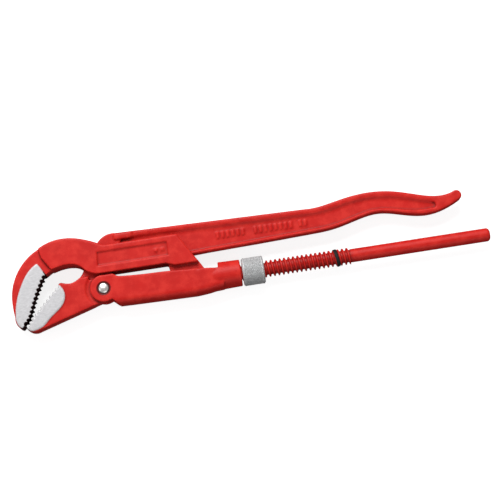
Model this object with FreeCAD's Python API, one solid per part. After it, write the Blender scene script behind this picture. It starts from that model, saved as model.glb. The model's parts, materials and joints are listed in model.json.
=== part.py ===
import FreeCAD, Part
import math
import os

# S-jaw pipe wrench, 1 inch size, 320 mm long. Lengths in mm.
# Working frame: rivet axis at x = y = 0, rod along +X, thickness along Z with the middle at z = 0.
# Every node is moved at the end so that the origin is the middle of the underside of the whole tool.

V = FreeCAD.Vector

# ---- driving dimensions -------------------------------------------------------------------------
ROD_Y = -2.75            # rod axis below the rivet axis
PITCH = 3.0              # screw thread, right hand
R_CREST = 5.6            # thread crest radius
R_ROOT = 4.1             # thread root radius
R_ROD = 4.5              # plain rod radius
R_TENON = 4.2            # rod end held in the lug
THREAD_X0, THREAD_X1 = 84.0, 165.0
ROD_END = 259.0
JAW_H = 7.1              # half thickness over the ground jaw faces
JAW_RIM = 6.4            # half thickness of the painted jaw rims
NECK_H = 9.4             # half thickness of the hook neck and cheeks
WINDOW_H = 4.85          # half width of the window between the cheeks
LUG_H = 5.6              # half thickness of the rear lug
LEVER_H = 4.5            # half thickness of the lever neck and handle flanges
WEB_H = 2.9              # half thickness of the handle web
EYE_H = 5.6              # half thickness of the lever eye
EYE_R = 7.6              # lever eye radius
RECESS_R = 12.0          # round recess in the lower jaw for the ears
ARM_H = 8.3              # half width of the socket arm
CHANNEL_H = 5.95         # half width of its channel
EAR_R = 9.0              # ear radius
COLLAR_R0, COLLAR_R1 = 9.3, 8.9
COLLAR_X0, COLLAR_X1 = 76.6, 91.2
COLLAR_BORE = 5.68       # running fit over the thread crests
NUT_X0, NUT_X1 = 92.2, 106.6
NUT_R = 9.35
NUT_ROOT = 5.95          # nut thread root radius
NUT_CREST = 4.45         # nut thread crest radius
RIVET_R = 3.2
RIVET_BORE = 3.25        # running fit in the lever eye
RING_R0, RING_R1 = 4.2, 5.9
RING_X, RING_W, RING_TILT = 155.5, 2.4, 9.0
PIN_X, PIN_R = 56.5, 1.5


# ---- small helpers ------------------------------------------------------------------------------
def outline(start, steps):
    """Closed face in the XY plane. Steps: a point is a line, ("arc", mid, end), ("curve", points)."""
    edges, last = [], V(*start, 0)
    for step in steps + [start]:
        if step[0] == "arc":
            end = V(*step[2], 0)
            edges.append(Part.Arc(last, V(*step[1], 0), end).toShape())
        elif step[0] == "curve":
            points = [last] + [V(*p, 0) for p in step[1]]
            end = points[-1]
            spline = Part.BSplineCurve()
            spline.interpolate(points)
            edges.append(spline.toShape())
        else:
            end = V(*step, 0)
            if end.distanceToPoint(last) < 1e-6:
                continue
            edges.append(Part.makeLine(last, end))
        last = end
    return Part.Face(Part.Wire(edges))


def slab(face, half):
    """Solid of even thickness about the mid-plane."""
    body = face.extrude(V(0, 0, 2 * half))
    body.translate(V(0, 0, -half))
    return body


def block(x0, x1, y0, y1, z0, z1):
    return Part.makeBox(x1 - x0, y1 - y0, z1 - z0, V(x0, y0, z0))


def disc(x, y, r, half):
    return Part.makeCylinder(r, 2 * half, V(x, y, -half), V(0, 0, 1))


def bar(x0, x1, r):
    """Round bar on the rod axis."""
    return Part.makeCylinder(r, x1 - x0, V(x0, ROD_Y, 0), V(1, 0, 0))


def joined(shapes):
    body = shapes[0].multiFuse(shapes[1:]).removeSplitter()
    return body.Solids[0] if len(body.Solids) == 1 else body


def round_edges(body, radius, keep):
    """Round the edges that the test keeps."""
    return body.makeFillet(radius, [e for e in body.Edges if keep(e)])


def tooth_line(points, count, depth, back):
    """Saw teeth along a smooth line: crests on the line, roots behind it at `back` of each pitch."""
    spline = Part.BSplineCurve()
    spline.interpolate([V(*p, 0) for p in points])
    line = spline.toShape()
    at = line.discretize(Number=count + 1)
    teeth = []
    for a, b in zip(at[:-1], at[1:]):
        along = b - a
        out = V(along.y, -along.x, 0).normalize()
        root = a + along * back + out * depth
        teeth += [(a.x, a.y), (root.x, root.y)]
    return teeth + [(at[-1].x, at[-1].y)]


# ---- jaws ---------------------------------------------------------------------------------------
HOOK_TEETH = [(-36.9, 14.6), (-42.8, 4.7), (-46.9, -4.1), (-49.2, -9.9), (-54.7, -16.6)]
LEVER_TEETH = [(-53.3, -16.9), (-47.2, -10.0), (-38.6, -1.4), (-29.4, 7.0)]


def hook_teeth():
    return tooth_line(HOOK_TEETH, 12, 2.0, 0.62)


def lever_teeth():
    return tooth_line(LEVER_TEETH, 11, 1.7, 0.38)


def hook_jaw():
    teeth = hook_teeth()
    tip = (-57.2, -18.2)
    rim = outline(tip, [
        ("arc", (-59.4, -16.0), (-60.4, -10.5)),
        ("curve", [(-61.0, -3), (-60.3, 6.7), (-57.4, 15.2), (-50.4, 25.1), (-39.2, 32.8)]),
        (-38.0, 26.4), (-32.3, 17.3), ("arc", (-34.6, 16.0), (-36.9, 14.6))] + teeth[1:])
    ground = outline((-56.5, -18.3), [
        ("arc", (-58.9, -15.2), (-59.7, -11.0)),
        ("curve", [(-57.9, -0.4), (-53.2, 10.5), (-46.6, 19.5), (-42.2, 22.6)]),
        ("arc", (-41.4, 22.7), (-40.8, 21.9)),
        (-37.4, 15.6), (-36.9, 14.6)] + teeth[1:])
    neck = outline((-39.2, 32.8), [
        ("curve", [(-34.2, 35.1), (-24.7, 37.0), (-15.2, 36.2), (-5.7, 33.2), (0.5, 30.3)]),
        ("arc", (2.9, 29.0), (6.0, 28.5)),
        (52.8, 28.5), (60.6, 14.9), (64.7, 8.0), (48.6, 8.0),
        ("arc", (45.6, 9.3), (43.0, 10.2)), (-1.0, 10.2),
        ("arc", (-6.6, 11.3), (-10.6, 14.1)),
        ("curve", [(-12.8, 16.3), (-15.2, 17.9), (-20, 19.0), (-26.0, 18.8), (-32.3, 17.3)]),
        (-38.0, 26.4)])
    body = joined([slab(rim, JAW_RIM), slab(ground, JAW_H), slab(neck, NECK_H)])

    def outer(edge):
        box = edge.BoundBox
        flat = box.ZLength < 0.01 and abs(abs(box.ZMin) - NECK_H) < 0.01
        return flat and edge.Length > 5 and box.YMax > 28 and box.XMax > -30
    body = round_edges(body, 1.2, outer)
    window = outline((-14.6, 9.0), [(-14.6, 15.0), (-5.4, 38.0), (75, 38.0), (75, 9.0)])
    body = body.cut(slab(window, WINDOW_H))
    panel = outline((-1.4, 24.5), [(45.8, 24.5), (45.8, 14.8), (-2.0, 14.8)])
    for side in (1, -1):
        pocket = panel.extrude(V(0, 0, 2))
        pocket.translate(V(0, 0, NECK_H - 0.8 if side > 0 else -NECK_H - 1.2))
        body = body.cut(pocket)
    lug = outline((46.2, 9.8), [
        (64.0, 9.8), (66.8, 4.9), (68.6, 1.8), (68.6, -8.2), (50.6, -8.2), (48.6, -6.2),
        (48.4, -2.0), (45.0, 5.2), (44.4, 8.2)])
    body = joined([body, slab(lug, LUG_H)])
    body = body.cut(bar(50.0, 70.0, R_TENON))
    return body.cut(disc(PIN_X, ROD_Y, PIN_R, 5.0))


# ---- lever --------------------------------------------------------------------------------------
HANDLE_TOP = [(150, 32.9), (161.5, 35.0), (180.5, 37.3), (199.5, 35.5), (213.8, 31.4),
              (228, 28.0), (239.0, 29.2)]
HANDLE_BOTTOM = [(237.5, 20.9), (228, 17.8), (218.5, 16.9), (204.3, 19.5), (187.5, 22.9),
                 (171, 20.2), (156.8, 17.1), (139, 16.0), (109, 15.1), (62, 13.9)]
POCKET_TOP = [(60, 31.0), (109, 29.3), (139, 28.6), (150, 28.8), (161.5, 30.8), (180.5, 33.2),
              (199.5, 31.4), (213.8, 27.3), (225, 24.2)]
POCKET_BOTTOM = [(205, 21.9), (187.5, 25.1), (171, 22.4), (156.8, 19.3), (139, 18.1), (109, 17.2),
                 (62, 16.0), (22, 15.3)]


def handle_lever():
    teeth = lever_teeth()[1:-1]
    start = (-29.4, 7.0)
    rear = [
        ("arc", (-28.6, 8.0), (-27.0, 8.1)),
        ("curve", [(-23.3, 7.0), (-21.4, 6.9), (-18.8, 7.5), (-16.4, 8.6)])]
    lower = [(6.0, -6.3), (-45.1, -20.9), ("arc", (-50.6, -21.1), (-54.0, -18.4))]
    jaw = outline(start, rear + [(-14.8, 9.7), (2.0, 9.7), (6.0, 2.0)] + lower + teeth)
    ground = outline(start, [
        ("curve", [(-27.0, 4.0), (-26.1, 0.0), (-27.6, -5.2), (-32.3, -10.0), (-39.9, -16.2)]),
        ("curve", [(-43.7, -19.1), (-48.5, -20.5)]),
        ("arc", (-52.0, -20.2), (-53.7, -18.3))] + teeth)
    recess = disc(0, 0, RECESS_R, 20).cut(disc(0, 0, RECESS_R + 1, EYE_H))
    for side in (1, -1):
        bevel = Part.makeCone(RECESS_R - 0.2, RECESS_R + 1.3, JAW_H - EYE_H,
                              V(0, 0, side * EYE_H), V(0, 0, side))
        recess = recess.fuse(bevel)
    body = joined([slab(jaw, JAW_RIM), slab(ground, JAW_H)]).cut(recess)
    right = block(-9.0, 20, 7.0, 20, -20, 20).fuse(block(0.5, 20, -20, 20, -20, 20))
    body = body.cut(right)
    eye = disc(0, 0, EYE_R, EYE_H)
    neck = outline((-16.4, 8.6), [
        ("arc", (-13.4, 11.4), (-11.4, 14.9)), (-0.4, 31.0), ("arc", (4.2, 34.9), (12.0, 36.2)),
        (12.0, 12.7), (9.4, 12.7), ("arc", (6.5, 11.5), (5.2, 8.6)), (5.2, 0.0),
        (0.0, -4.0), (-8.0, -4.0)])
    grip = outline((12.0, 12.7), [
        (12.0, 36.2), (139, 32.6), ("curve", HANDLE_TOP), ("arc", (244.4, 27.2), (243.2, 23.6)),
        ("curve", HANDLE_BOTTOM)])

    def rim(edge):
        box = edge.BoundBox
        return box.ZLength < 0.01 and box.XMax > 13 and edge.Length > 30
    handle = round_edges(slab(grip, LEVER_H), 1.2, rim)
    pocket = outline((16, 31.7), [
        ("curve", POCKET_TOP), ("arc", (226.6, 22.0), (223.5, 20.3)), ("curve", POCKET_BOTTOM),
        ("arc", (16.5, 16.6), (14.4, 20.5)), ("arc", (14.2, 27.0), (16, 31.7))])
    for side in (1, -1):
        cut = pocket.extrude(V(0, 0, 4))
        cut.translate(V(0, 0, WEB_H if side > 0 else -WEB_H - 4))
        handle = handle.cut(cut)
    pad = block(11.0, 24.0, 31.2, 35.6, -5.9, 5.9)
    pad = round_edges(pad, 1.2, lambda e: True)
    body = joined([body, eye, slab(neck, LEVER_H), handle, pad])
    return body.cut(disc(0, 0, RIVET_BORE, 20))


# ---- socket arm ---------------------------------------------------------------------------------
def socket_arm():
    side = outline((-8.0, -4.1), [
        ("arc", (-EAR_R, 0), (-1.6, 8.85)), (7.2, 8.8), (9.8, 7.0), (10.8, 6.65),
        ("curve", [(28.5, 5.4), (44.4, 4.85), (57.0, 3.9), (68.0, 3.1), (75.4, 2.2)]),
        (79.0, 2.2), (79.0, -11.8), (74.0, -12.1), ("curve", [(69.0, -12.8), (60.0, -13.5)]),
        (18.0, -12.6), (9.2, -12.3), (4.6, -7.75), ("arc", (-2.5, -8.65), (-8.0, -4.1))])
    body = slab(side, ARM_H)

    def low(edge):
        box = edge.BoundBox
        return (box.ZLength < 0.01 and abs(abs(box.ZMin) - ARM_H) < 0.01 and box.YMax < -11.5
                and box.XMin > 8)
    body = round_edges(body, 4.5, low)
    collar = Part.makeCone(COLLAR_R0, COLLAR_R1, COLLAR_X1 - COLLAR_X0, V(COLLAR_X0, ROD_Y, 0),
                           V(1, 0, 0))
    blend = Part.makeCone(7.0, COLLAR_R0, 12.0, V(COLLAR_X0 - 12.0, ROD_Y, 0), V(1, 0, 0))
    blend = blend.cut(block(40, 90, 2.2, 30, -20, 20))
    body = joined([body, blend, collar])
    body = body.cut(block(-20, COLLAR_X0 - 0.5, -9.4, 20, -CHANNEL_H, CHANNEL_H))
    body = body.cut(block(-20, 9.0, -20, 20, -CHANNEL_H, CHANNEL_H))
    body = body.cut(bar(60, 100, COLLAR_BORE))
    for side_z in (1, -1):
        sink = Part.makeCone(RIVET_R, 3.9, 1.2, V(0, 0, side_z * (ARM_H - 1.2)), V(0, 0, side_z))
        body = body.cut(sink)
    return body.cut(disc(0, 0, RIVET_R, 20))


# ---- rod, thread and nut ------------------------------------------------------------------------
def helix_ridge(x0, x1, r_in, r_out, half_in, half_out, phase):
    """Ridge of a right-hand thread along the rod axis; half widths at the inner and outer radius."""
    path = Part.makeHelix(PITCH, x1 - x0, 6.0)
    section = Part.makePolygon([
        V(r_in, 0, -half_in), V(r_out, 0, -half_out), V(r_out, 0, half_out), V(r_in, 0, half_in),
        V(r_in, 0, -half_in)])
    ridge = Part.Wire(path.Edges).makePipeShell([section], True, True)
    ridge.rotate(V(0, 0, 0), V(0, 0, 1), phase)
    ridge.rotate(V(0, 0, 0), V(0, 1, 0), 90)
    ridge.translate(V(x0, ROD_Y, 0))
    return ridge


def screw_rod():
    ridge = helix_ridge(THREAD_X0 - PITCH, THREAD_X1, R_ROOT - 0.15, R_CREST, 1.05, 0.35, 0)
    ridge = ridge.common(bar(THREAD_X0 + 0.5, THREAD_X1 - 0.5, 9.0))
    back = bar(THREAD_X1, ROD_END, R_ROD)
    back = round_edges(back, 2.4, lambda e: e.BoundBox.XMin > ROD_END - 0.1)
    body = joined([bar(50.0, 68.6, R_TENON), bar(68.6, THREAD_X0, R_ROD),
                   bar(THREAD_X0, THREAD_X1, R_ROOT), back])
    body = body.fuse(ridge)
    body = body.cut(tilted_ring(RING_R0, 8.0))
    return body.cut(disc(PIN_X, ROD_Y, PIN_R, 5.0))


def tilted_ring(r_in, r_out):
    ring = Part.makeCylinder(r_out, RING_W, V(-RING_W / 2, 0, 0), V(1, 0, 0))
    ring = ring.cut(Part.makeCylinder(r_in, RING_W * 2, V(-RING_W, 0, 0), V(1, 0, 0)))
    ring.rotate(V(0, 0, 0), V(0, 0, 1), RING_TILT)
    ring.translate(V(RING_X, ROD_Y, 0))
    return ring


def adjusting_nut():
    body = bar(NUT_X0, NUT_X1, NUT_R)
    body = body.makeChamfer(0.9, [e for e in body.Edges if e.BoundBox.XLength < 0.01])
    body = body.cut(bar(NUT_X0 - 1, NUT_X1 + 1, NUT_ROOT))
    before = math.floor((NUT_X0 - THREAD_X0) / PITCH) - 1
    ridge = helix_ridge(THREAD_X0 + (before - 0.5) * PITCH, NUT_X1 + PITCH,
                        NUT_CREST, NUT_ROOT + 0.15, 0.32, 1.0, 0)
    return body.fuse(ridge.common(bar(NUT_X0 + 0.6, NUT_X1 - 0.6, 9.0)))


def pivot_rivet():
    body = disc(0, 0, RIVET_R, ARM_H)
    for side in (1, -1):
        sink = Part.makeCone(RIVET_R, 3.6, 0.9, V(0, 0, side * (ARM_H - 0.9)), V(0, 0, side))
        ball = Part.makeSphere(6.6, V(0, 0, side * (ARM_H - 5.6)))
        cap = ball.common(block(-8, 8, -8, 8, ARM_H, 12) if side > 0
                          else block(-8, 8, -8, 8, -12, -ARM_H))
        body = body.fuse([sink, cap])
    return body.removeSplitter()


# ---- whole tool ---------------------------------------------------------------------------------
NODES = {
    "handle_lever": handle_lever,
    "hook_jaw": hook_jaw,
    "screw_rod": screw_rod,
    "rod_cross_pin": lambda: disc(PIN_X, ROD_Y, PIN_R, 5.0),
    "socket_arm": socket_arm,
    "adjusting_nut": adjusting_nut,
    "pivot_rivet": pivot_rivet,
    "stop_ring": lambda: tilted_ring(RING_R0, RING_R1),
}


def main():
    os.makedirs("parts", exist_ok=True)
    shapes = {name: make() for name, make in NODES.items()}
    box = FreeCAD.BoundBox()
    for shape in shapes.values():
        box.add(shape.optimalBoundingBox(False))
    move = V(-box.Center.x, -box.Center.y, -box.ZMin)
    print("size", box.XLength, box.YLength, box.ZLength, "move", move)
    for name, shape in shapes.items():
        shape.translate(move)
        print(name, shape.ShapeType, len(shape.Solids), shape.isValid(), round(shape.Volume))
        shape.exportStep("parts/" + name + ".step")


main()
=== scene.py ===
"""Finish of a two-handed pipe wrench with S-shaped jaws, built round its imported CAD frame."""
import json
import math

import bpy
import numpy as np
from bpy.props import FloatProperty, FloatVectorProperty, IntProperty, PointerProperty
from mathutils import Matrix, Vector

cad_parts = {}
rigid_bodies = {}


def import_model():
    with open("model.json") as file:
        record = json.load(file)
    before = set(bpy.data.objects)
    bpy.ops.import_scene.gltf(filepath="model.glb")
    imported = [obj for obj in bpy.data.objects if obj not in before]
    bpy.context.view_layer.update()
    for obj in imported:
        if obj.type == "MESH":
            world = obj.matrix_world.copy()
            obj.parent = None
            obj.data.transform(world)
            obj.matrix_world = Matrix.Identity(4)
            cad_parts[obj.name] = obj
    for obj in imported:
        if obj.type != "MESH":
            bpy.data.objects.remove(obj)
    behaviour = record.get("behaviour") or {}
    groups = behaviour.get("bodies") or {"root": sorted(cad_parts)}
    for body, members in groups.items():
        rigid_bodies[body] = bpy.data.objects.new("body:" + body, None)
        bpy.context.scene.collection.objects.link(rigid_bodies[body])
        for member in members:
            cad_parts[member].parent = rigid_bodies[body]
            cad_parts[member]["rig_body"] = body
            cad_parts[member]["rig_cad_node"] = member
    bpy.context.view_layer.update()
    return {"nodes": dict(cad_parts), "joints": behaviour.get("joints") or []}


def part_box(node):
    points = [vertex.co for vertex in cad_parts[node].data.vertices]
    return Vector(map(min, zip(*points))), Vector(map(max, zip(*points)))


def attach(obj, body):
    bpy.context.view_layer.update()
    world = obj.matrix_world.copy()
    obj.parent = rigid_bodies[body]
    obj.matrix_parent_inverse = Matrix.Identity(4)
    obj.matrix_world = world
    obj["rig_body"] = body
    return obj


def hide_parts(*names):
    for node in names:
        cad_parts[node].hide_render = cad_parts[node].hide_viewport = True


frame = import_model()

bl_info = {
    "name": "Pipe Wrench Finisher",
    "version": (1, 0, 0),
    "blender": (4, 5, 0),
    "location": "3D View > Sidebar > Wrench",
    "description": "Forged, painted and ground surfaces of an S-jaw pipe wrench",
    "category": "Object",
}

MM = 0.001
CLOSE = 1e-5              # two places nearer than this count as one, in metres
JOINTS = {joint["name"]: joint for joint in frame["joints"]}
PIVOT = Vector(JOINTS["jaw_pivot"]["pos_m"])
ROD_AXIS = Vector(JOINTS["nut_turn"]["pos_m"])
MID_Z = PIVOT.z

# Tooth lines of the two jaws, from the rivet, in millimetres.
HOOK_TEETH = [(-36.9, 14.6), (-42.8, 4.7), (-46.9, -4.1), (-49.2, -9.9), (-54.7, -16.6)]
LEVER_TEETH = [(-53.3, -16.9), (-47.2, -10.0), (-38.6, -1.4), (-29.4, 7.0)]
TOOTH_MELT = 0.2          # share of the edge softening that reaches the teeth
TOOTH_CRISP = 2.7         # how far from its tooth line a jaw keeps crisp edges
TOOTH_BARE = 3.4          # how far from its tooth line a jaw's flanks are bare, dark with oxide and painted shade
JAW_END = -24.0           # no bare steel lies beyond this along X
GROUND_FROM, GROUND_EDGE, GROUND_TO = 6.0, 6.62, 7.4      # levels of the ground faces

# Wall under the top flange of the handle, from the rivet, in millimetres.
FLANGE_WALL = [(24.0, 31.7), (60.0, 31.0), (109.0, 29.3), (139.0, 28.6), (150.0, 28.8),
               (161.5, 30.8), (172.0, 32.8), (180.5, 33.2), (190.0, 32.7), (199.5, 31.4),
               (213.8, 27.3), (222.0, 24.9)]

# Run-out of the arm into its round collar, from the rivet, in millimetres.
COLLAR_BLEND = [(63.0, 0.5), (69.0, -5.5), (72.5, -10.5)]


# Plain raised marks, from the rivet, in millimetres.
BAR_ROWS = [(79.6, 6), (105.0, 8), (135.2, 2)]            # start of each row, and its bars
BAR_STEP, BAR_LENGTH, BAR_HEIGHT = 3.4, 1.8, 4.4
ROW_X, ROW_Y, ROW_SLOPE = 86.0, 24.0, 0.012               # line that the bars stand on
STUDS_X, STUD_Y, STUD_SIZE = (37.8, 42.0), 19.4, 2.4
WEB_LEVEL, CHEEK_LEVEL = 2.9, 8.6                         # faces that the marks stand on

# Painted shade in the thread valleys, in metres: radius of its crests and valleys, and where the
# shade ends along X.
THREAD_CREST, THREAD_VALLEY = 0.0053, 0.0041
GROOVE_SHADE_FULL, GROOVE_SHADE_END = 0.0655, 0.0675

# Soft lamps, all aimed at the middle of the tool: name, place, size and power.
LAMPS = [("key_soft", (-0.25, 1.25, 1.35), 1.1, 49.0), ("front_fill", (0.3, -1.3, 1.1), 1.0, 5.0),
         ("left_soft", (-1.5, -0.1, 1.0), 0.9, 3.0)]
ROOM_LIGHT = 0.30
FLOOR_SIZE, FLOOR_Z = 12.0, -0.0002


def from_rivet(x, y, z=0.0):
    """A point given in millimetres from the middle of the rivet."""
    return Vector((PIVOT.x + x * MM, PIVOT.y + y * MM, MID_Z + z * MM))


# ---- sizes and colours --------------------------------------------------------------------------
class ForgingSettings(bpy.types.PropertyGroup):
    voxel: FloatProperty(
        name="Surface grain", description="Size of the cells the forged skin is rebuilt from",
        default=0.00048, min=0.0003, max=0.002, unit="LENGTH")
    melt: IntProperty(
        name="Edge softening", description="Passes that round the forged edges", default=4, min=0,
        max=30)
    mark_height: FloatProperty(
        name="Mark height", description="How far the plain raised bars stand proud",
        default=0.0008, min=0.0, max=0.0012, unit="LENGTH")
    wall_reach: FloatProperty(
        name="Wall reach", description="How far the slope under the top flange spreads",
        default=0.003, min=0.0, max=0.006, unit="LENGTH")
    wall_passes: IntProperty(
        name="Wall softening", description="Passes that turn the wall under the flange to a slope",
        default=45, min=0, max=200)


class NutSettings(bpy.types.PropertyGroup):
    around: IntProperty(
        name="Knurl points around", description="Knurl points and valleys around the nut",
        default=96, min=24, max=240)
    along: IntProperty(
        name="Knurl rows", description="Rows of the knurl along the nut", default=20, min=6, max=60)
    depth: FloatProperty(
        name="Knurl depth", description="Height of the knurl points over its valleys",
        default=0.00036, min=0.0, max=0.001, unit="LENGTH")
    bore: FloatProperty(
        name="Bore", description="Radius of the clear bore round the screw", default=0.00575,
        min=0.0057, max=0.008, unit="LENGTH")
    edge: FloatProperty(
        name="End chamfer", description="Chamfer at the ends of the nut", default=0.0009,
        min=0.0002, max=0.003, unit="LENGTH")


class FinishSettings(bpy.types.PropertyGroup):
    paint: FloatVectorProperty(
        name="Paint", description="Red enamel", subtype="COLOR", size=3, min=0, max=1,
        default=(0.47, 0.0115, 0.0085))
    paint_deep: FloatVectorProperty(
        name="Thick paint", description="Enamel where it pools and dust settles", subtype="COLOR",
        size=3, min=0, max=1, default=(0.30, 0.007, 0.006))
    steel: FloatVectorProperty(
        name="Ground steel", description="Ground jaw faces", subtype="COLOR", size=3, min=0, max=1,
        default=(0.47, 0.465, 0.475))
    # Lighter enamel: random light patches, and a painted highlight along the convex edges.
    light_paint_and_edge_highlight: FloatVectorProperty(
        name="Rubbed paint", description="Enamel rubbed bright on the edges", subtype="COLOR",
        size=3, min=0, max=1, default=(0.60, 0.030, 0.020))
    # Painted shade: a dark red-brown put into creases, corners and thread valleys where shade
    # falls.
    crease_shade: FloatVectorProperty(
        name="Crease shade", description="Dust and oil in the corners", subtype="COLOR", size=3, min=0,
        max=1, default=(0.085, 0.004, 0.004))
    # Tooth flanks: dark oxide, deepened as painted shade on the sideways faces of the teeth.
    tooth: FloatVectorProperty(
        name="Tooth flanks", description="Dark hardened flanks between the teeth", subtype="COLOR",
        size=3, min=0, max=1, default=(0.026, 0.006, 0.006))
    nut: FloatVectorProperty(
        name="Nut steel", description="Grey knurled steel", subtype="COLOR", size=3, min=0, max=1,
        default=(0.58, 0.585, 0.59))
    bright: FloatVectorProperty(
        name="Bright steel", description="Turned rivet head", subtype="COLOR", size=3, min=0,
        max=1, default=(0.80, 0.76, 0.73))


class StageSettings(bpy.types.PropertyGroup):
    lens: FloatProperty(
        name="Lens", description="Focal length on a 36 mm sensor, in millimetres", default=126.0,
        min=20, max=300)
    look_at: FloatVectorProperty(
        name="Look at", description="Point in the middle of the view", subtype="TRANSLATION",
        unit="LENGTH", size=3, default=(0.00047, 0.00361, 0.0094))
    eye: FloatVectorProperty(
        name="Eye", description="Where the camera stands", subtype="TRANSLATION", unit="LENGTH",
        size=3, default=(-0.0283, -0.1805, 1.1597))
    roll: FloatProperty(
        name="Roll", description="Turn of the picture about the line of sight", subtype="ANGLE",
        default=math.radians(8.9))
    floor: FloatVectorProperty(
        name="Floor", description="Pale floor", subtype="COLOR", size=3, min=0, max=1,
        default=(0.40, 0.40, 0.40))
    glow: FloatProperty(
        name="Floor glow", description="Light that comes up through the floor", default=2.1,
        min=0, max=10)


# ---- hands --------------------------------------------------------------------------------------
def drop_selection():
    if bpy.context.object and bpy.context.object.mode != "OBJECT":
        bpy.ops.object.mode_set(mode="OBJECT")
    bpy.ops.object.select_all(action="DESELECT")


def hold(obj):
    drop_selection()
    obj.select_set(True)
    bpy.context.view_layer.objects.active = obj
    return obj


def settle(obj):
    """Put the object's place into its mesh."""
    hold(obj)
    bpy.ops.object.transform_apply(location=True, rotation=True, scale=True)
    return obj


def copy_of(node, name):
    """A welded copy of a CAD node with its own mesh."""
    hold(frame["nodes"][node])
    bpy.ops.object.duplicate(linked=False)
    obj = bpy.context.object
    obj.name = obj.data.name = name
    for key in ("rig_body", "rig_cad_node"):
        if key in obj:
            del obj[key]
    obj.parent = None
    hold(obj)
    bpy.ops.object.mode_set(mode="EDIT")
    bpy.ops.mesh.select_all(action="SELECT")
    bpy.ops.mesh.remove_doubles(threshold=1e-6)
    bpy.ops.object.mode_set(mode="OBJECT")
    obj.data.materials.clear()
    return obj


def with_modifier(obj, kind, **values):
    hold(obj)
    modifier = obj.modifiers.new(kind.title(), kind)
    for key, value in values.items():
        setattr(modifier, key, value)
    bpy.ops.object.modifier_apply(modifier=modifier.name)


def pick(obj, mode, test):
    """Select the parts of a mesh that pass the test, and nothing else."""
    hold(obj)
    bpy.ops.object.mode_set(mode="EDIT")
    bpy.ops.mesh.select_mode(type=mode)
    bpy.ops.mesh.select_all(action="DESELECT")
    bpy.ops.object.mode_set(mode="OBJECT")
    parts = {"VERT": obj.data.vertices, "EDGE": obj.data.edges, "FACE": obj.data.polygons}[mode]
    for part in parts:
        part.select = bool(test(part))
    bpy.ops.object.mode_set(mode="EDIT")


def done(obj, body, node, slot, *materials):
    """Hand a finished piece over to its body."""
    drop_selection()
    for material in materials:
        obj.data.materials.append(material)
    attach(obj, body)
    if node:
        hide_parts(node)


def raised_bar(x, y, length, height, side, level, proud):
    """A plain bar with rounded corners on a flat face `level` mm from the middle."""
    bpy.ops.mesh.primitive_cube_add(size=1.0)
    bar = bpy.context.object
    bar.name = "raised_bar"
    bar.scale = (length * MM, height * MM, 2.0 * proud)
    bar.location = from_rivet(x, y, side * level)
    settle(bar)
    bpy.ops.object.mode_set(mode="EDIT")
    bpy.ops.mesh.select_all(action="SELECT")
    bpy.ops.mesh.bevel(offset=min(length, height) * 0.3 * MM, segments=3, affect="EDGES",
                       clamp_overlap=True)
    bpy.ops.object.mode_set(mode="OBJECT")
    return bar


def raised_row(start, count, side, proud):
    """Plain equal bars in a row along the web of the handle."""
    bars = []
    for step in range(count):
        x = start + BAR_STEP * step
        y = ROW_Y - (x - ROW_X) * ROW_SLOPE
        bars.append(raised_bar(x, y, BAR_LENGTH, BAR_HEIGHT, side, WEB_LEVEL, proud))
    return bars


def corners_of(obj, ring=None):
    """Store how deep each point sits in a corner (above 0) or stands out on an edge (below 0)."""
    mesh, count = obj.data, len(obj.data.vertices)
    place, normal = np.empty(count * 3), np.empty(count * 3)
    mesh.vertices.foreach_get("co", place)
    mesh.vertex_normals.foreach_get("vector", normal)
    place, normal = place.reshape(-1, 3), normal.reshape(-1, 3)
    ends = np.empty(len(mesh.edges) * 2, dtype=np.int64)
    mesh.edges.foreach_get("vertices", ends)
    first, last = ends.reshape(-1, 2).T
    run = place[last] - place[first]
    run /= np.maximum(np.linalg.norm(run, axis=1), 1e-9)[:, None]
    degree = np.maximum(np.bincount(first, minlength=count)
                        + np.bincount(last, minlength=count), 1)
    rise = (np.bincount(first, (normal[first] * run).sum(axis=1), count)
            - np.bincount(last, (normal[last] * run).sum(axis=1), count)) / degree

    def spread(values, times):
        for _ in range(times):
            around = (np.bincount(first, values[last], count)
                      + np.bincount(last, values[first], count)) / degree
            values = 0.4 * values + 0.6 * around
        return values
    depth = spread(rise, 2) + 1.6 * spread(rise, 14)
    # The ring adds painted shadow: a dark band at the given distances from the rivet, on faces that
    # look up.
    if ring:
        away = np.hypot(place[:, 0] - PIVOT.x, place[:, 1] - PIVOT.y) / MM
        inner, outer, strength = ring
        soft = np.clip((away - inner) / 0.3, 0, 1) * np.clip((outer - away) / 0.5, 0, 1)
        facing = np.clip(np.abs(normal[:, 2]) * 2 - 1, 0, 1)
        depth = np.maximum(depth, strength * soft * facing)
    corner = mesh.attributes.new("corner", "FLOAT", "POINT")
    corner.data.foreach_set("value", depth.astype(np.float32))


def ramp(value, width):
    """Nothing below 0, then rising to 1 over `width`."""
    return max(0.0, min(1.0, value / width))


def soften_wall(obj, chain, reach, passes):
    """Rub a steep wall down to a soft slope near a chain of points (millimetres from the rivet)."""
    group = obj.vertex_groups.new(name="wall")
    for vertex in obj.data.vertices:
        place = (vertex.co - PIVOT) / MM
        if chain[0][0] - reach < place.x < chain[-1][0] + reach and abs(place.z) > 2.0:
            near = line_distance(place.x, place.y, chain)
            if near < reach:
                group.add([vertex.index], ramp(reach - near, 0.4 * reach), "REPLACE")
    with_modifier(obj, "SMOOTH", factor=0.6, iterations=passes, vertex_group="wall")


def melt_edges(obj, teeth, passes):
    """Round every edge a little, but leave the machined teeth crisp."""
    if not teeth:
        return with_modifier(obj, "SMOOTH", factor=0.5, iterations=passes)
    group = obj.vertex_groups.new(name="soft")
    for vertex in obj.data.vertices:
        place = (vertex.co - PIVOT) / MM
        near = line_distance(place.x, place.y, teeth)
        sharp = place.x < teeth[-1][0] + 3 and near < TOOTH_CRISP
        group.add([vertex.index], TOOTH_MELT if sharp else 1.0, "REPLACE")
    with_modifier(obj, "SMOOTH", factor=0.5, iterations=passes, vertex_group="soft")


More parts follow.
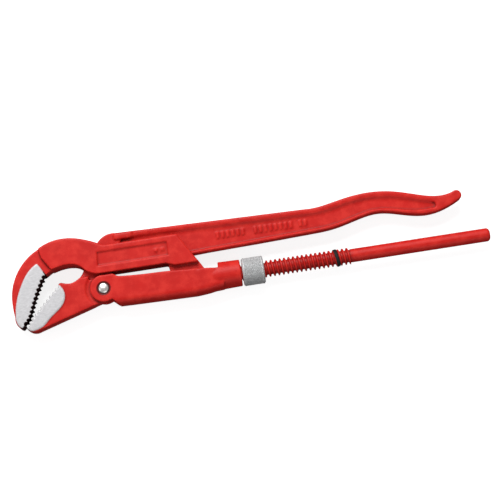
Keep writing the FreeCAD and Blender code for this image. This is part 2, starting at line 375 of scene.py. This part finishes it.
def forged_skin(obj, extras, settings, ring=None, wall=None, teeth=None):
    """Join raised details on, then rebuild the skin so that every edge is soft like a forging's."""
    hold(obj)
    for extra in extras:
        extra.select_set(True)
    if extras:
        bpy.ops.object.join()
    with_modifier(obj, "REMESH", mode="VOXEL", voxel_size=settings.voxel)
    melt_edges(obj, teeth, settings.melt)
    if wall:
        soften_wall(obj, wall, settings.wall_reach / MM, settings.wall_passes)
    hold(obj)
    bpy.ops.object.shade_smooth()
    corners_of(obj, ring)


def line_distance(x, y, points):
    """Distance from a point to a chain of straight runs."""
    best = 1e9
    for (ax, ay), (bx, by) in zip(points[:-1], points[1:]):
        dx, dy = bx - ax, by - ay
        t = max(0.0, min(1.0, ((x - ax) * dx + (y - ay) * dy) / (dx * dx + dy * dy)))
        best = min(best, math.hypot(x - ax - t * dx, y - ay - t * dy))
    return best


def mark_jaw(obj, teeth, inside):
    """Store where the jaw is ground bright and where its bare tooth flanks get oxide and painted
    shade.
    """
    ground = obj.data.attributes.new("ground", "FLOAT", "POINT")
    tooth = obj.data.attributes.new("tooth", "FLOAT", "POINT")
    for vertex in obj.data.vertices:
        place = (vertex.co - PIVOT) / MM
        level = abs(place.z)
        if place.x > JAW_END or not inside(place):
            continue
        if GROUND_FROM < level < GROUND_TO:
            ground.data[vertex.index].value = ramp(level - GROUND_EDGE, 0.22)
        near = line_distance(place.x, place.y, teeth)
        if near < TOOTH_BARE:
            tooth.data[vertex.index].value = ramp(TOOTH_BARE - near, 0.6)


# ---- shared surface effects ---------------------------------------------------------------------
def node_group(name, inputs, outputs):
    group = bpy.data.node_groups.new(name, "ShaderNodeTree")
    for label, kind, default in inputs:
        socket = group.interface.new_socket(name=label, in_out="INPUT", socket_type=kind)
        if default is not None:
            socket.default_value = default
    for label, kind in outputs:
        group.interface.new_socket(name=label, in_out="OUTPUT", socket_type=kind)
    return group, group.nodes.new("NodeGroupInput"), group.nodes.new("NodeGroupOutput")


def add(tree, kind, inputs=None, **values):
    """Add a shader node; inputs maps a socket's name or number to a value or an output socket."""
    node = tree.nodes.new(kind)
    for key, value in values.items():
        setattr(node, key, value)
    for key, value in (inputs or {}).items():
        if isinstance(value, bpy.types.NodeSocket):
            tree.links.new(value, node.inputs[key])
        else:
            node.inputs[key].default_value = value
    return node


def maths(tree, operation, *values, clamp=False):
    return add(tree, "ShaderNodeMath", dict(enumerate(values)), operation=operation,
               use_clamp=clamp).outputs[0]


def mixed(tree, factor, a, b):
    node = add(tree, "ShaderNodeMix", data_type="RGBA")
    for index, value in ((0, factor), (6, a), (7, b)):
        if isinstance(value, bpy.types.NodeSocket):
            tree.links.new(value, node.inputs[index])
        else:
            node.inputs[index].default_value = value
    return node.outputs[2]


def rgba(colour):
    return (*colour, 1.0)


def cast_texture():
    """Height of a forged and sprayed skin (broad waves and orange peel) and a mask of broad
    patches.
    """
    if "cast_texture" in bpy.data.node_groups:
        return bpy.data.node_groups["cast_texture"]
    group, inlet, outlet = node_group(
        "cast_texture",
        [("Vector", "NodeSocketVector", None), ("Scale", "NodeSocketFloat", 1.0),
         ("Peel", "NodeSocketFloat", 0.5)],
        [("Height", "NodeSocketFloat"), ("Patches", "NodeSocketFloat")])
    at, size = inlet.outputs["Vector"], inlet.outputs["Scale"]
    wave = add(group, "ShaderNodeTexNoise",
               {"Vector": at, "Scale": maths(group, "MULTIPLY", size, 160.0), "Detail": 3.0})
    peel = add(group, "ShaderNodeTexNoise",
               {"Vector": at, "Scale": maths(group, "MULTIPLY", size, 1500.0), "Detail": 2.0})
    patch = add(group, "ShaderNodeTexNoise",
                {"Vector": at, "Scale": maths(group, "MULTIPLY", size, 45.0), "Detail": 4.0,
                 "Roughness": 0.6})
    high = maths(group, "MULTIPLY_ADD", peel.outputs[0], inlet.outputs["Peel"], wave.outputs[0])
    group.links.new(high, outlet.inputs["Height"])
    spread = add(group, "ShaderNodeMapRange",
                 {"Value": patch.outputs[0], "From Min": 0.38, "From Max": 0.66})
    group.links.new(spread.outputs[0], outlet.inputs["Patches"])
    return group


def steel_grain():
    """Short grinding strokes and grey specks of bare steel."""
    if "steel_grain" in bpy.data.node_groups:
        return bpy.data.node_groups["steel_grain"]
    group, inlet, outlet = node_group(
        "steel_grain",
        [("Vector", "NodeSocketVector", None), ("Stretch", "NodeSocketVector", (1.0, 1.0, 1.0)),
         ("Scale", "NodeSocketFloat", 900.0)],
        [("Grain", "NodeSocketFloat"), ("Cloud", "NodeSocketFloat")])
    drawn = add(group, "ShaderNodeVectorMath",
                {0: inlet.outputs["Vector"], 1: inlet.outputs["Stretch"]}, operation="MULTIPLY")
    fine = add(group, "ShaderNodeTexNoise",
               {"Vector": drawn.outputs[0], "Scale": inlet.outputs["Scale"], "Detail": 4.0,
                "Roughness": 0.7})
    cloud = add(group, "ShaderNodeTexNoise",
                {"Vector": inlet.outputs["Vector"], "Scale": 120.0, "Detail": 3.0})
    group.links.new(fine.outputs[0], outlet.inputs["Grain"])
    group.links.new(cloud.outputs[0], outlet.inputs["Cloud"])
    return group


def blank_material(name):
    """A new material and its tree with only the principled shader left in."""
    old = bpy.data.materials.get(name)
    if old:
        return old, None, None
    material = bpy.data.materials.new(name)
    material.use_nodes = True
    tree = material.node_tree
    shader = next(n for n in tree.nodes if n.type == "BSDF_PRINCIPLED")
    return material, tree, shader


def place_of(tree):
    return add(tree, "ShaderNodeTexCoord").outputs["Object"]


def painted(finish, name="red_enamel", jaw=False, crease_shade=True, thread=False, dark_from=0.80):
    """Red enamel on a forging; on a jaw the ground faces and the tooth flanks are bare.

    The flanks turn dark, as oxide plus painted shade, where the upward part of their normal falls
    below `dark_from`.
    """
    material, tree, shader = blank_material(name)
    if tree is None:
        return material
    at = place_of(tree)
    skin = add(tree, "ShaderNodeGroup", node_tree=cast_texture())
    tree.links.new(at, skin.inputs["Vector"])
    skin.inputs["Peel"].default_value = 0.35
    height, patches = skin.outputs["Height"], skin.outputs["Patches"]
    shade = maths(tree, "MULTIPLY", patches, 0.36)
    colour = mixed(tree, shade, rgba(finish.paint), rgba(finish.paint_deep))
    thin = add(tree, "ShaderNodeMapRange",
               {"Value": height, "From Min": 0.60, "From Max": 0.85, "To Max": 0.5})
    colour = mixed(tree, thin.outputs[0], colour, rgba(finish.light_paint_and_edge_highlight))
    # Painted shade darkens the creases and corners; a painted highlight lightens the convex edges.
    if crease_shade:
        corner = add(tree, "ShaderNodeAttribute", attribute_name="corner").outputs["Fac"]
        crease_shade_mask = add(tree, "ShaderNodeMapRange",
                    {"Value": corner, "From Min": 0.02, "From Max": 0.30, "To Max": 0.92})
        edge_highlight = add(tree, "ShaderNodeMapRange",
                    {"Value": corner, "From Min": -0.05, "From Max": -0.5, "To Max": 0.25})
        colour = mixed(tree, crease_shade_mask.outputs[0], colour, rgba(finish.crease_shade))
        colour = mixed(tree, edge_highlight.outputs[0], colour, rgba(finish.light_paint_and_edge_highlight))
    # Painted shade in the valleys of the thread, fading out along X.
    if thread:
        parts = add(tree, "ShaderNodeSeparateXYZ", {0: at})
        away = add(tree, "ShaderNodeCombineXYZ",
                   {1: maths(tree, "SUBTRACT", parts.outputs[1], ROD_AXIS.y),
                    2: maths(tree, "SUBTRACT", parts.outputs[2], ROD_AXIS.z)})
        radius = add(tree, "ShaderNodeVectorMath", {0: away.outputs[0]}, operation="LENGTH")
        valley = add(tree, "ShaderNodeMapRange",
                     {"Value": radius.outputs[1], "From Min": THREAD_CREST,
                      "From Max": THREAD_VALLEY, "To Max": 0.4})
        front = add(tree, "ShaderNodeMapRange",
                    {"Value": parts.outputs[0], "From Min": GROOVE_SHADE_END, "From Max": GROOVE_SHADE_FULL})
        groove_shade = maths(tree, "MULTIPLY", valley.outputs[0], front.outputs[0])
        colour = mixed(tree, groove_shade, colour, rgba(finish.crease_shade))
    rough = add(tree, "ShaderNodeMapRange",
                {"Value": height, "From Min": 0.3, "From Max": 0.9, "To Min": 0.36,
                 "To Max": 0.50}).outputs[0]
    if jaw:
        grain = add(tree, "ShaderNodeGroup", node_tree=steel_grain())
        tree.links.new(at, grain.inputs["Vector"])
        grain.inputs["Stretch"].default_value = (0.45, 1.3, 1.0)
        ground = add(tree, "ShaderNodeAttribute", attribute_name="ground").outputs["Fac"]
        tooth = add(tree, "ShaderNodeAttribute", attribute_name="tooth").outputs["Fac"]
        normal = add(tree, "ShaderNodeNewGeometry").outputs["Normal"]
        up = maths(tree, "ABSOLUTE", add(tree, "ShaderNodeSeparateXYZ", {0: normal}).outputs[2])
        # Dark oxide plus painted shade on the tooth faces that turn sideways.
        flank = add(tree, "ShaderNodeMapRange",
                    {"Value": up, "From Min": dark_from, "From Max": dark_from - 0.15})
        flank = maths(tree, "MULTIPLY", flank.outputs[0], tooth)
        bright = add(tree, "ShaderNodeMapRange",
                     {"Value": grain.outputs["Grain"], "From Min": 0.3, "From Max": 0.7})
        worn = mixed(tree, bright.outputs[0], rgba([c * 0.84 for c in finish.steel]),
                     rgba([min(1.0, c * 1.12) for c in finish.steel]))
        colour = mixed(tree, ground, colour, worn)
        colour = mixed(tree, flank, colour, rgba(finish.tooth))
        bare = maths(tree, "SUBTRACT", ground, flank, clamp=True)
        metal = maths(tree, "MULTIPLY", bare, 0.25)
        steel_rough = add(tree, "ShaderNodeMapRange",
                          {"Value": grain.outputs["Grain"], "To Min": 0.42, "To Max": 0.62})
        both = add(tree, "ShaderNodeMix", {0: bare, 2: rough, 3: steel_rough.outputs[0]})
        rough = maths(tree, "MAXIMUM", both.outputs[0], flank)
        height = add(tree, "ShaderNodeMix",
                     {0: bare, 2: height, 3: grain.outputs["Grain"]}).outputs[0]
        tree.links.new(metal, shader.inputs["Metallic"])
    shader.inputs["Specular IOR Level"].default_value = 0.15
    tree.links.new(colour, shader.inputs["Base Color"])
    tree.links.new(rough, shader.inputs["Roughness"])
    bump = add(tree, "ShaderNodeBump", {"Height": height, "Strength": 0.5,
                                        "Distance": 0.00006})
    tree.links.new(bump.outputs[0], shader.inputs["Normal"])
    return material


def bare_steel(name, colour, gloss, scale, depth, metallic, valley=0.0, blotch=0.0, rim_shade=None):
    """Unpainted steel with grain in its colour, gloss and surface."""
    material, tree, shader = blank_material(name)
    if tree is None:
        return material
    grain = add(tree, "ShaderNodeGroup", node_tree=steel_grain())
    tree.links.new(place_of(tree), grain.inputs["Vector"])
    grain.inputs["Scale"].default_value = scale
    spread = add(tree, "ShaderNodeMapRange",
                 {"Value": grain.outputs["Grain"], "From Min": 0.3, "From Max": 0.7})
    tone = mixed(tree, spread.outputs[0], rgba([c * 0.72 for c in colour]),
                 rgba([min(1.0, c * 1.2) for c in colour]))
    # Painted shadow: a dark ring at the rim distance from the rivet's middle.
    if rim_shade:
        level = add(tree, "ShaderNodeVectorMath", {0: place_of(tree), 1: (1.0, 1.0, 0.0)},
                    operation="MULTIPLY")
        away = add(tree, "ShaderNodeVectorMath",
                   {0: level.outputs[0], 1: (PIVOT.x, PIVOT.y, 0.0)}, operation="DISTANCE")
        edge = add(tree, "ShaderNodeMapRange",
                   {"Value": away.outputs["Value"], "From Min": rim_shade - 0.25 * MM,
                    "From Max": rim_shade + 0.15 * MM, "To Max": 0.9})
        tone = mixed(tree, edge.outputs[0], tone, (0.030, 0.012, 0.009, 1.0))
    if blotch:
        spots = add(tree, "ShaderNodeTexNoise",
                    {"Vector": place_of(tree), "Scale": 950.0, "Detail": 2.0, "Roughness": 0.7})
        spread = add(tree, "ShaderNodeMapRange",
                     {"Value": spots.outputs[0], "From Min": 0.36, "From Max": 0.60,
                      "To Min": blotch, "To Max": 0.0})
        tone = mixed(tree, spread.outputs[0], tone, rgba([c * 0.22 for c in colour]))
    # Painted shade in the knurl valleys.
    if valley:
        low_spot = add(tree, "ShaderNodeAttribute", attribute_name="valley").outputs["Fac"]
        tone = mixed(tree, maths(tree, "MULTIPLY", low_spot, valley), tone,
                     rgba([c * 0.18 for c in colour]))
    tree.links.new(tone, shader.inputs["Base Color"])
    rough = add(tree, "ShaderNodeMapRange",
                {"Value": grain.outputs["Cloud"], "To Min": gloss[0], "To Max": gloss[1]})
    tree.links.new(rough.outputs[0], shader.inputs["Roughness"])
    shader.inputs["Metallic"].default_value = metallic
    bump = add(tree, "ShaderNodeBump", {"Height": grain.outputs["Grain"], "Strength": 0.6,
                                        "Distance": depth})
    tree.links.new(bump.outputs[0], shader.inputs["Normal"])
    return material


def black_rubber():
    material, tree, shader = blank_material("black_ring_rubber")
    if tree is None:
        return material
    skin = add(tree, "ShaderNodeGroup", node_tree=cast_texture())
    tree.links.new(place_of(tree), skin.inputs["Vector"])
    tone = mixed(tree, skin.outputs["Patches"], (0.006, 0.006, 0.006, 1), (0.02, 0.018, 0.017, 1))
    tree.links.new(tone, shader.inputs["Base Color"])
    shader.inputs["Specular IOR Level"].default_value = 0.15
    rough = add(tree, "ShaderNodeMapRange",
                {"Value": skin.outputs["Height"], "To Min": 0.45, "To Max": 0.75})
    tree.links.new(rough.outputs[0], shader.inputs["Roughness"])
    bump = add(tree, "ShaderNodeBump", {"Height": skin.outputs["Height"], "Strength": 0.4,
                                        "Distance": 0.00005})
    tree.links.new(bump.outputs[0], shader.inputs["Normal"])
    return material


# ---- pieces -------------------------------------------------------------------------------------
class WRENCH_OT_lever(bpy.types.Operator):
    """Forged lever with the lower jaw and the I-section handle"""
    bl_idname = "wrench.lever"
    bl_label = "Lever"

    def execute(self, context):
        forging, finish = context.scene.wrench_forging, context.scene.wrench_finish
        lever = copy_of("handle_lever", "lever_forging")
        bars = []
        for side in (1, -1):
            for start, count in BAR_ROWS:
                bars += raised_row(start, count, side, forging.mark_height)
        # The ring is a painted shadow round the ear of the lower jaw.
        forged_skin(lever, bars, forging, ring=(8.6, 10.6, 0.14), wall=FLANGE_WALL,
                    teeth=LEVER_TEETH)
        mark_jaw(lever, LEVER_TEETH, lambda p: p.y < 8.6)
        done(lever, "lever", "handle_lever", "red_paint",
             painted(finish, "red_enamel_jaw", jaw=True))
        return {"FINISHED"}


class WRENCH_OT_hook(bpy.types.Operator):
    """Forged hook jaw with its two cheeks"""
    bl_idname = "wrench.hook"
    bl_label = "Hook jaw"

    def execute(self, context):
        forging, finish = context.scene.wrench_forging, context.scene.wrench_finish
        hook = copy_of("hook_jaw", "hook_forging")
        studs = [raised_bar(x, STUD_Y, STUD_SIZE, STUD_SIZE, side, CHEEK_LEVEL,
                            forging.mark_height)
                 for side in (1, -1) for x in STUDS_X]
        forged_skin(hook, studs, forging, teeth=HOOK_TEETH[::-1])
        mark_jaw(hook, HOOK_TEETH, lambda p: p.x < -36.4 and p.y < 23.5)
        # dark_from near 1 spreads oxide and painted shade over all but the flat tops of the hook's
        # teeth.
        done(hook, "hook", "hook_jaw", "red_paint",
             painted(finish, "red_enamel_hook", jaw=True, dark_from=0.98))
        return {"FINISHED"}


class WRENCH_OT_arm(bpy.types.Operator):
    """Forged socket arm with its ears and collar"""
    bl_idname = "wrench.arm"
    bl_label = "Socket arm"

    def execute(self, context):
        forging, finish = context.scene.wrench_forging, context.scene.wrench_finish
        arm = copy_of("socket_arm", "arm_forging")
        # The ring is a painted shadow round the rivet head.
        forged_skin(arm, [], forging, ring=(3.2, 4.8, 1.0), wall=COLLAR_BLEND)
        done(arm, "arm", "socket_arm", "red_paint", painted(finish))
        return {"FINISHED"}


class WRENCH_OT_rod(bpy.types.Operator):
    """Painted screw rod and its hidden pin"""
    bl_idname = "wrench.rod"
    bl_label = "Screw rod"

    def execute(self, context):
        finish = context.scene.wrench_finish
        # The rivet head gets a painted shadow ring at its rim.
        bright = bare_steel("turned_bright_steel", finish.bright, (0.26, 0.40), 1400.0, 0.00001,
                            0.9, rim_shade=3.15 * MM)
        plain = bare_steel("plain_pin_steel", finish.bright, (0.30, 0.45), 1400.0, 0.00001, 0.9)
        enamel = painted(finish, "red_enamel_rod", crease_shade=False, thread=True)
        for node, material in (("screw_rod", enamel), ("rod_cross_pin", plain),
                               ("pivot_rivet", bright)):
            part = frame["nodes"][node]
            part.data.materials.clear()
            part.data.materials.append(material)
        return {"FINISHED"}


class WRENCH_OT_nut(bpy.types.Operator):
    """Knurled adjusting nut"""
    bl_idname = "wrench.nut"
    bl_label = "Adjusting nut"

    def execute(self, context):
        sizes, finish = context.scene.wrench_nut, context.scene.wrench_finish
        low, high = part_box("adjusting_nut")
        length, radius = high.x - low.x, (high.z - low.z) / 2
        middle = Vector(((low.x + high.x) / 2, ROD_AXIS.y, ROD_AXIS.z))
        rim = radius - sizes.edge

        def away(point):
            return math.hypot(point.y - middle.y, point.z - middle.z)

        drop_selection()
        bpy.ops.mesh.primitive_cylinder_add(vertices=sizes.around, radius=radius, depth=length,
                                            end_fill_type="NGON")
        nut = bpy.context.object
        nut.name = nut.data.name = "knurled_nut"
        nut.rotation_euler = (0, math.pi / 2, 0)
        nut.location = middle
        settle(nut)
        points = nut.data.vertices

        def on_end(face):
            return abs(abs(face.center.x - middle.x) - length / 2) < CLOSE
        pick(nut, "FACE", on_end)
        bpy.ops.mesh.inset(thickness=sizes.edge, depth=0.0)
        bpy.ops.object.mode_set(mode="OBJECT")
        for side in (1, -1):
            pick(nut, "VERT", lambda v: (v.co.x - middle.x) * side > 0 and away(v.co) > rim + CLOSE)
            bpy.ops.transform.translate(value=(-side * sizes.edge, 0, 0))
            bpy.ops.object.mode_set(mode="OBJECT")
        pick(nut, "FACE", on_end)
        bpy.ops.mesh.inset(thickness=rim - sizes.bore, depth=0.0)
        bpy.ops.mesh.delete(type="FACE")
        bpy.ops.object.mode_set(mode="OBJECT")
        pick(nut, "EDGE", lambda e: all(away(points[i].co) < (rim + sizes.bore) / 2
                                        for i in e.vertices))
        bpy.ops.mesh.bridge_edge_loops()
        bpy.ops.object.mode_set(mode="OBJECT")
        pick(nut, "EDGE", lambda e: all(away(points[i].co) > rim + CLOSE for i in e.vertices)
             and abs(points[e.vertices[0]].co.x - points[e.vertices[1]].co.x) > length / 2)
        bpy.ops.mesh.subdivide(number_cuts=sizes.along - 1)
        bpy.ops.object.mode_set(mode="OBJECT")
        start, step = low.x + sizes.edge, (length - 2 * sizes.edge) / sizes.along

        def in_valley(vertex):
            row = (vertex.co.x - start) / step
            turn = math.atan2(vertex.co.z - middle.z, vertex.co.y - middle.y) / math.tau
            return (away(vertex.co) > rim + CLOSE and 0.5 < row < sizes.along - 0.5
                    and (round(row) + round(turn * sizes.around)) % 2)
        pick(nut, "VERT", in_valley)
        shrink = 1 - sizes.depth / radius
        bpy.ops.transform.resize(value=(1, shrink, shrink), center_override=middle)
        bpy.ops.mesh.select_all(action="SELECT")
        bpy.ops.mesh.quads_convert_to_tris(quad_method="SHORTEST_DIAGONAL")
        bpy.ops.mesh.normals_make_consistent(inside=False)
        bpy.ops.object.mode_set(mode="OBJECT")
        # Knurl valleys, marked for painted shade.
        valley = nut.data.attributes.new("valley", "FLOAT", "POINT")
        for vertex in nut.data.vertices:
            deep = (radius - away(vertex.co)) / sizes.depth
            valley.data[vertex.index].value = 1.0 if 0.5 < deep < 1.6 else 0.0
        with_modifier(nut, "BEVEL", width=0.00005, segments=1, limit_method="ANGLE",
                      angle_limit=math.radians(25))
        steel = bare_steel("knurled_nut_steel", finish.nut, (0.38, 0.55), 1300.0, 0.00004, 0.25,
                           valley=0.45, blotch=0.5)
        done(nut, "nut", "adjusting_nut", "nut_steel", steel)
        return {"FINISHED"}


class WRENCH_OT_ring(bpy.types.Operator):
    """Black stop ring on the thread"""
    bl_idname = "wrench.ring"
    bl_label = "Stop ring"

    def execute(self, context):
        ring = copy_of("stop_ring", "stop_band")
        with_modifier(ring, "BEVEL", width=0.0005, segments=3, limit_method="ANGLE",
                      angle_limit=math.radians(40))
        hold(ring)
        bpy.ops.object.shade_smooth_by_angle(angle=math.radians(40))
        done(ring, "hook", "stop_ring", "black_ring", black_rubber())
        return {"FINISHED"}


class WRENCH_OT_stage(bpy.types.Operator):
    """Pale floor, soft lights and the camera"""
    bl_idname = "wrench.stage"
    bl_label = "Stage"

    def execute(self, context):
        stage = context.scene.wrench_stage
        drop_selection()
        bpy.ops.mesh.primitive_plane_add(size=FLOOR_SIZE, location=(0, 0, FLOOR_Z))
        floor = bpy.context.object
        floor.name = "floor"
        material, tree, shader = blank_material("pale_floor")
        speck = add(tree, "ShaderNodeTexNoise", {"Vector": place_of(tree), "Scale": 6.0})
        tone = mixed(tree, speck.outputs[0], rgba(stage.floor),
                     rgba([c * 0.985 for c in stage.floor]))
        tree.links.new(tone, shader.inputs["Base Color"])
        shader.inputs["Roughness"].default_value = 0.9
        tree.links.new(tone, shader.inputs["Emission Color"])
        shader.inputs["Emission Strength"].default_value = stage.glow
        floor.data.materials.append(material)
        floor.visible_diffuse = False
        floor.visible_glossy = False
        for lamp in LAMPS:
            self.lamp(*lamp)
        world = bpy.data.worlds.new("studio")
        world.use_nodes = True
        sky = world.node_tree
        toward = add(sky, "ShaderNodeSeparateXYZ",
                     {0: add(sky, "ShaderNodeTexCoord").outputs["Generated"]})
        above = add(sky, "ShaderNodeMapRange",
                    {"Value": toward.outputs[2], "From Min": -0.5, "From Max": -0.1})
        light = mixed(sky, above.outputs[0], (0.15, 0.13, 0.13, 1), (1, 1, 1, 1))
        sky.links.new(light, sky.nodes["Background"].inputs["Color"])
        sky.nodes["Background"].inputs["Strength"].default_value = ROOM_LIGHT
        context.scene.world = world
        context.scene.view_settings.view_transform = "Standard"
        self.camera(context, stage)
        return {"FINISHED"}

    @staticmethod
    def lamp(name, place, size, power):
        bpy.ops.object.light_add(type="AREA", location=place)
        lamp = bpy.context.object
        lamp.name = name
        lamp.data.shape = "SQUARE"
        lamp.data.size = size
        lamp.data.energy = power
        lamp.rotation_euler = (-Vector(place)).to_track_quat("-Z", "Y").to_euler()

    @staticmethod
    def camera(context, stage):
        bpy.ops.object.camera_add(location=stage.eye)
        camera = bpy.context.object
        camera.name = "camera"
        camera.data.lens = stage.lens
        camera.data.sensor_width = 36.0
        camera.data.clip_end = 20.0
        back = (Vector(stage.eye) - Vector(stage.look_at)).normalized()
        right = Vector((math.cos(stage.roll), -math.sin(stage.roll), 0.0))
        up = back.cross(right).normalized()
        right = up.cross(back)
        turn = Matrix((right, up, back)).transposed().to_4x4()
        camera.matrix_world = Matrix.Translation(stage.eye) @ turn
        context.scene.camera = camera


class WRENCH_PT_panel(bpy.types.Panel):
    """Builds the pieces of the wrench one by one"""
    bl_idname = "WRENCH_PT_panel"
    bl_label = "Pipe wrench"
    bl_space_type = "VIEW_3D"
    bl_region_type = "UI"
    bl_category = "Wrench"

    def draw(self, context):
        column = self.layout.column()
        for operator in PIECES:
            column.operator(operator.bl_idname)
        for group in ("wrench_forging", "wrench_nut", "wrench_finish", "wrench_stage"):
            values = getattr(context.scene, group)
            for key in values.__annotations__:
                column.prop(values, key)


PIECES = (WRENCH_OT_lever, WRENCH_OT_hook, WRENCH_OT_arm, WRENCH_OT_rod, WRENCH_OT_nut,
          WRENCH_OT_ring, WRENCH_OT_stage)
SETTINGS = {"wrench_forging": ForgingSettings, "wrench_nut": NutSettings,
            "wrench_finish": FinishSettings, "wrench_stage": StageSettings}


def register():
    for cls in (*SETTINGS.values(), *PIECES, WRENCH_PT_panel):
        bpy.utils.register_class(cls)
    for name, cls in SETTINGS.items():
        setattr(bpy.types.Scene, name, PointerProperty(type=cls))


def unregister():
    for name in SETTINGS:
        delattr(bpy.types.Scene, name)
    for cls in reversed((*SETTINGS.values(), *PIECES, WRENCH_PT_panel)):
        bpy.utils.unregister_class(cls)


def main():
    register()
    for operator in PIECES:
        group, name = operator.bl_idname.split(".")
        getattr(getattr(bpy.ops, group), name)()


if __name__ == "__main__":
    main()
